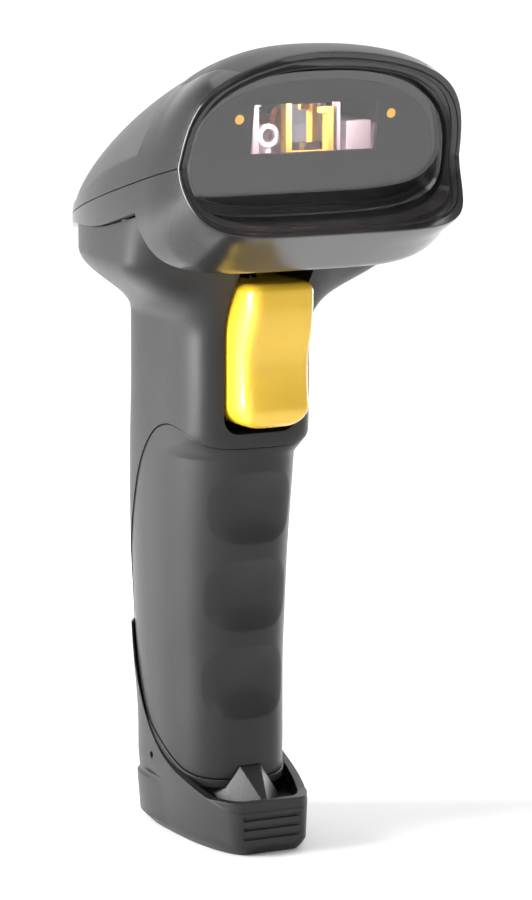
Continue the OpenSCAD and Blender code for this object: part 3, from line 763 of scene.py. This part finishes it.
def keel():
    """Pointed keel from the front of the grip down to the nose, with a flat facet that narrows to the tip."""
    points = [(x, y, z) for x in (-7.5, 7.5) for y, z in ((-13.2, 6.8), (-13.2, 13.2))]
    points += [(-2.5, -20.4, 17.2), (2.5, -20.4, 17.2), (0, -29.6, 9), (-7.2, -20.5, 9.4), (7.2, -20.5, 9.4)]
    bm = bmesh.new()
    for p in points:
        bm.verts.new([c * MM for c in p])
    bmesh.ops.convex_hull(bm, input=bm.verts)
    mesh = bpy.data.meshes.new("keel")
    bm.to_mesh(mesh)
    bm.free()
    obj = bpy.data.objects.new("keel", mesh)
    bpy.context.scene.collection.objects.link(obj)
    return obj


def nose_groove(z):
    """A groove across the nose with a sloping end at each side."""
    w = NOSE_HALF_W - 0.2
    front = FOOT_MID_Y - FOOT_FRONT_D - 0.5
    depth = 1.15
    outline = [(-w - 1.2, front), (w + 1.2, front), (w - 0.6, front + depth), (-w + 0.6, front + depth)]
    return prism(outline, z - 0.42, z + 0.42, 2)


def band_ring(z):
    """Low band round the back of the foot that stands a little proud and dies away along the sides."""
    inside = foot_ring(z, 0.08, RING)
    proud = foot_ring(z, -0.6, RING)
    ends = smooth((z - 1) / 0.6) * smooth((11.8 - z) / 1.2)
    return inside + (proud - inside) * (smooth((inside[:, 1] + 8) / 16) * ends)[:, None]


def foot():
    """Flared foot that hugs the back of the handle, with a keel, a ribbed nose and the recesses below."""
    body = both(foot_body(0, 0, 44), under_rim(0))
    band = skin("band", [band_ring(z) for z in (1.0, 1.3, 2, 4, 6, 8, 9.5, 10.8, 11.4, 11.7)])
    plus(body, band)
    moat = minus(foot_body(1.7, 9.4, 50), handle(1.1, 9, 60, COARSE, 50),
                 side_slab([(2, 70), (60, 70), (60, 0), (2, 0)]))
    minus(body, moat)
    plus(body, keel())
    minus(body, handle(-GAP, HANDLE_BASE - GAP, 60), handle(WALL + 1, 6, HANDLE_BASE + 1, COARSE, 8))
    grooves = [nose_groove(3.8 + 2.1 * i) for i in range(3)]
    toe = prism([(-32.5, -0.5), (-29.4, -0.5), (-32.5, 2.6)], -20, 20, 0)
    jack = block((0, 7.5, 3), (15.2, 11.6, 24))
    plate = block((0, -2.5, 0), (20.4, 30.4, 3.9))
    screw_hole = rod((0, FOOT_SCREW_Y, -1), (0, FOOT_SCREW_Y, 19), 1.3)
    minus(body, *grooves, toe, jack, plate, release_hole(), screw_hole)
    return finish_piece(body, "foot_moulding", "housing_dark", "foot", sharp=25)


# ---- build -----------------------------------------------------------------------------------
upper_shell()
roof_panel()
rear_panel()
lower_shell()
front_bezel()
pane("window_pane", "window_smoke", "window", WINDOW_HALF_W, 18.9, 11.8, 0, PANE_T)
pane("window_mask_plate", "mask_black", "window_mask", WINDOW_HALF_W - 2.2, 16.8, 9.8,
     PANE_T + 0.1, PANE_T + 1.1, [scan_hole(), lamp_hole(-1), lamp_hole(1)])
trigger()
handle_shell()
grip_insert()
foot()

SLOT_OF = {s["node"]: s["material_slot"] for s in frame["record"]["subparts"]}
for node, obj in frame["nodes"].items():
    if obj.hide_render:
        continue
    for slot in obj.material_slots:
        slot.material = MATERIALS[SLOT_OF[node]]


# ---- floor, light and camera -----------------------------------------------------------------
def stage_floor():
    """Round pale floor that curves up into a wall on all sides."""
    profile = [(1.7 + 0.6 * math.sin(q), 0.6 - 0.6 * math.cos(q)) for q in np.linspace(0, math.pi / 2, 16)]
    profile.append((2.3, 2.4))
    count = 96
    verts = [(r * math.cos(a), r * math.sin(a), z - 0.0002) for r, z in profile for a in angles(count)]
    faces = [tuple(range(count))]
    for i in range(len(profile) - 1):
        for j in range(count):
            k = (j + 1) % count
            faces.append((i * count + k, i * count + j, (i + 1) * count + j, (i + 1) * count + k))
    mesh = bpy.data.meshes.new("studio_floor")
    mesh.from_pydata(verts, [], faces)
    mesh.shade_smooth()
    obj = bpy.data.objects.new("studio_floor", mesh)
    bpy.context.scene.collection.objects.link(obj)
    obj.data.materials.append(moulded("studio_paper", (0.93, 0.93, 0.93), 0.9, vary=0.01, specular=0.1))


def area_light(name, place, target, size, power):
    light = bpy.data.lights.new(name, "AREA")
    light.shape = "RECTANGLE"
    light.size, light.size_y = size
    light.energy = power
    obj = bpy.data.objects.new(name, light)
    obj.location = place
    obj.rotation_euler = (Vector(target) - Vector(place)).to_track_quat("-Z", "Y").to_euler()
    bpy.context.scene.collection.objects.link(obj)
    return obj


def camera():
    """At the viewing angle of the product shot: 27 degrees to the left of the window, a little above."""
    azimuth = math.radians(27)
    elevation = math.radians(9.5)
    target = Vector((0.00765, -0.013, 0.08503))
    away = Vector((-math.sin(azimuth) * math.cos(elevation), -math.cos(azimuth) * math.cos(elevation),
                   math.sin(elevation)))
    data = bpy.data.cameras.new("camera")
    data.lens = 168.8
    data.sensor_width = 36
    data.clip_start = 0.01
    obj = bpy.data.objects.new("camera", data)
    obj.location = target + 0.9174 * away
    obj.rotation_euler = (-away).to_track_quat("-Z", "Y").to_euler()
    bpy.context.scene.collection.objects.link(obj)
    bpy.context.scene.camera = obj


def scan_glow():
    """Faint pink light behind the window, so that the optics show through the smoked pane."""
    light = bpy.data.lights.new("scan_glow", "POINT")
    light.energy = 0.06
    light.color = (1, 0.72, 0.75)
    light.shadow_soft_size = 0.002
    obj = bpy.data.objects.new("scan_glow", light)
    obj.location = (0, -0.0455, 0.163)
    obj.visible_transmission = False
    obj.visible_glossy = False
    bpy.context.scene.collection.objects.link(obj)


def studio_world():
    world = bpy.data.worlds.new("studio")
    world.use_nodes = True
    background = world.node_tree.nodes["Background"]
    background.inputs["Color"].default_value = (0.95, 0.96, 1, 1)
    background.inputs["Strength"].default_value = 0.05
    bpy.context.scene.world = world
    bpy.context.scene.view_settings.view_transform = "Standard"


stage_floor()
centre = (0, -0.01, 0.1)
area_light("key_left", (-0.85, 0.22, 0.26), centre, (0.5, 0.8), 27)
area_light("fill_front", (-0.55, -1.3, 0.5), centre, (0.5, 0.7), 3)
area_light("fill_top", (0.1, -0.3, 1.4), (0, -0.2, 0), (1.6, 1.6), 3)
area_light("rim_right", (0.75, 0.42, 0.28), centre, (0.3, 0.7), 5)
area_light("backdrop", (0.6, 1.1, 1.7), (0.7, 1.5, 0), (2.4, 1.6), 26)
scan_glow()
camera()
studio_world()
